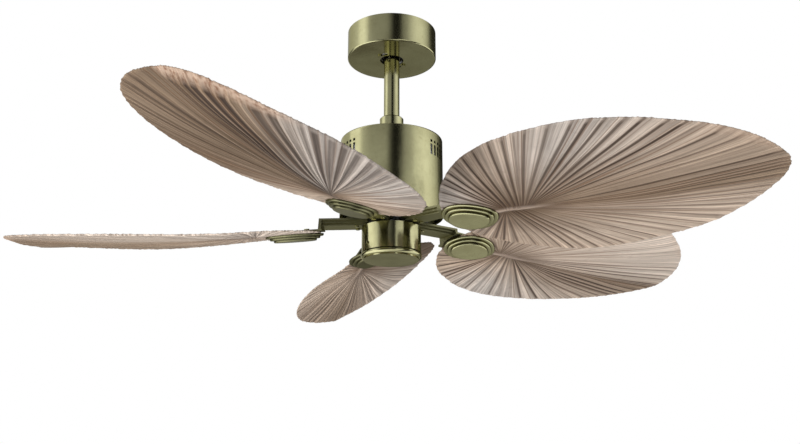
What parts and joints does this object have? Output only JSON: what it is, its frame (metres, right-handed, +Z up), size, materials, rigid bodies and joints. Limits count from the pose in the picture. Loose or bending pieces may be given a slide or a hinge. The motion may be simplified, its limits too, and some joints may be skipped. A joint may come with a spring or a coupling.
{
  "type": "ceiling fan",
  "caption": "Ceiling fan with pleated palm-leaf blades on arms under a drum motor housing, hung by a short downrod from a ball seat in a canopy.",
  "frame": {"origin": "on the ceiling plane, in the middle of the hanger bracket, on the fan's axis", "axes": "+Z up along the downrod, -Y to the front, +X to the right seen from the front"},
  "size_m": [1.2149, 1.2491, 0.4219],
  "materials": {
    "aged_brass": "brushed antique brass plate, satin",
    "plated_steel": "zinc plated, satin",
    "ground_steel": "ground, bright",
    "core_steel": "stacked electrical sheet, varnished",
    "winding_copper": "enamelled copper wire",
    "magnet": "ferrite, matt",
    "cast_aluminium": "die cast, matt",
    "dark_iron": "black paint, satin",
    "seat_nylon": "black nylon, matt",
    "receiver_case": "off-white plastic, matt",
    "board": "green circuit board",
    "capacitor_case": "black plastic, matt",
    "dried_palm_leaf": "dried natural palm leaf, pleated, matt"
  },
  "bodies": {
    "ceiling_mount": {"hanger_bracket": "plated_steel", "canopy": "aged_brass", "canopy_screws": "aged_brass", "remote_receiver": "receiver_case"},
    "ball_seat": {"seat_liner": "seat_nylon"},
    "hanging_unit": {"hanger_ball": "seat_nylon", "ball_pin": "plated_steel", "ball_set_screw": "plated_steel", "downrod": "aged_brass", "rod_coupling": "plated_steel", "clevis_pin": "plated_steel", "pin_clip": "plated_steel", "coupling_screws": "plated_steel", "coupling_collar": "aged_brass", "motor_housing": "aged_brass", "housing_clamp": "plated_steel", "housing_screws": "plated_steel", "motor_shaft": "ground_steel", "stator_core": "core_steel", "stator_winding": "winding_copper", "shaft_spacer": "plated_steel", "upper_cup": "aged_brass", "cup_mount_plate": "plated_steel", "shaft_nut": "plated_steel", "driver_board": "board", "capacitor": "capacitor_case", "cup_cover": "aged_brass", "cover_screws": "aged_brass", "cup_cap": "aged_brass"},
    "rotor": {"upper_bell": "cast_aluminium", "lower_bell": "cast_aluminium", "magnet_ring": "magnet", "upper_bearing": "ground_steel", "lower_bearing": "ground_steel", "bell_screws": "plated_steel", "flywheel": "dark_iron", "flywheel_screws": "plated_steel", "arm_screws": "aged_brass", "leaf_screws": "aged_brass", "blade_arm_1": "aged_brass", "blade_leaf_1": "dried_palm_leaf", "blade_medallion_1": "aged_brass", "blade_arm_2": "aged_brass", "blade_leaf_2": "dried_palm_leaf", "blade_medallion_2": "aged_brass", "blade_arm_3": "aged_brass", "blade_leaf_3": "dried_palm_leaf", "blade_medallion_3": "aged_brass", "blade_arm_4": "aged_brass", "blade_leaf_4": "dried_palm_leaf", "blade_medallion_4": "aged_brass", "blade_arm_5": "aged_brass", "blade_leaf_5": "dried_palm_leaf", "blade_medallion_5": "aged_brass"}
  },
  "joints": [
    {"name": "swing_x", "type": "hinge", "parent": "ceiling_mount", "child": "ball_seat", "pos_m": [0, 0, -0.0286], "axis": [1, 0, 0], "range_deg": [-10, 10]},
    {"name": "swing_y", "type": "hinge", "parent": "ball_seat", "child": "hanging_unit", "pos_m": [0, 0, -0.0286], "axis": [0, 1, 0], "range_deg": [-10, 10]},
    {"name": "rotor_spin", "type": "hinge", "parent": "hanging_unit", "child": "rotor", "pos_m": [0, 0, -0.268], "axis": [0, 0, 1], "continuous": true}
  ]
}
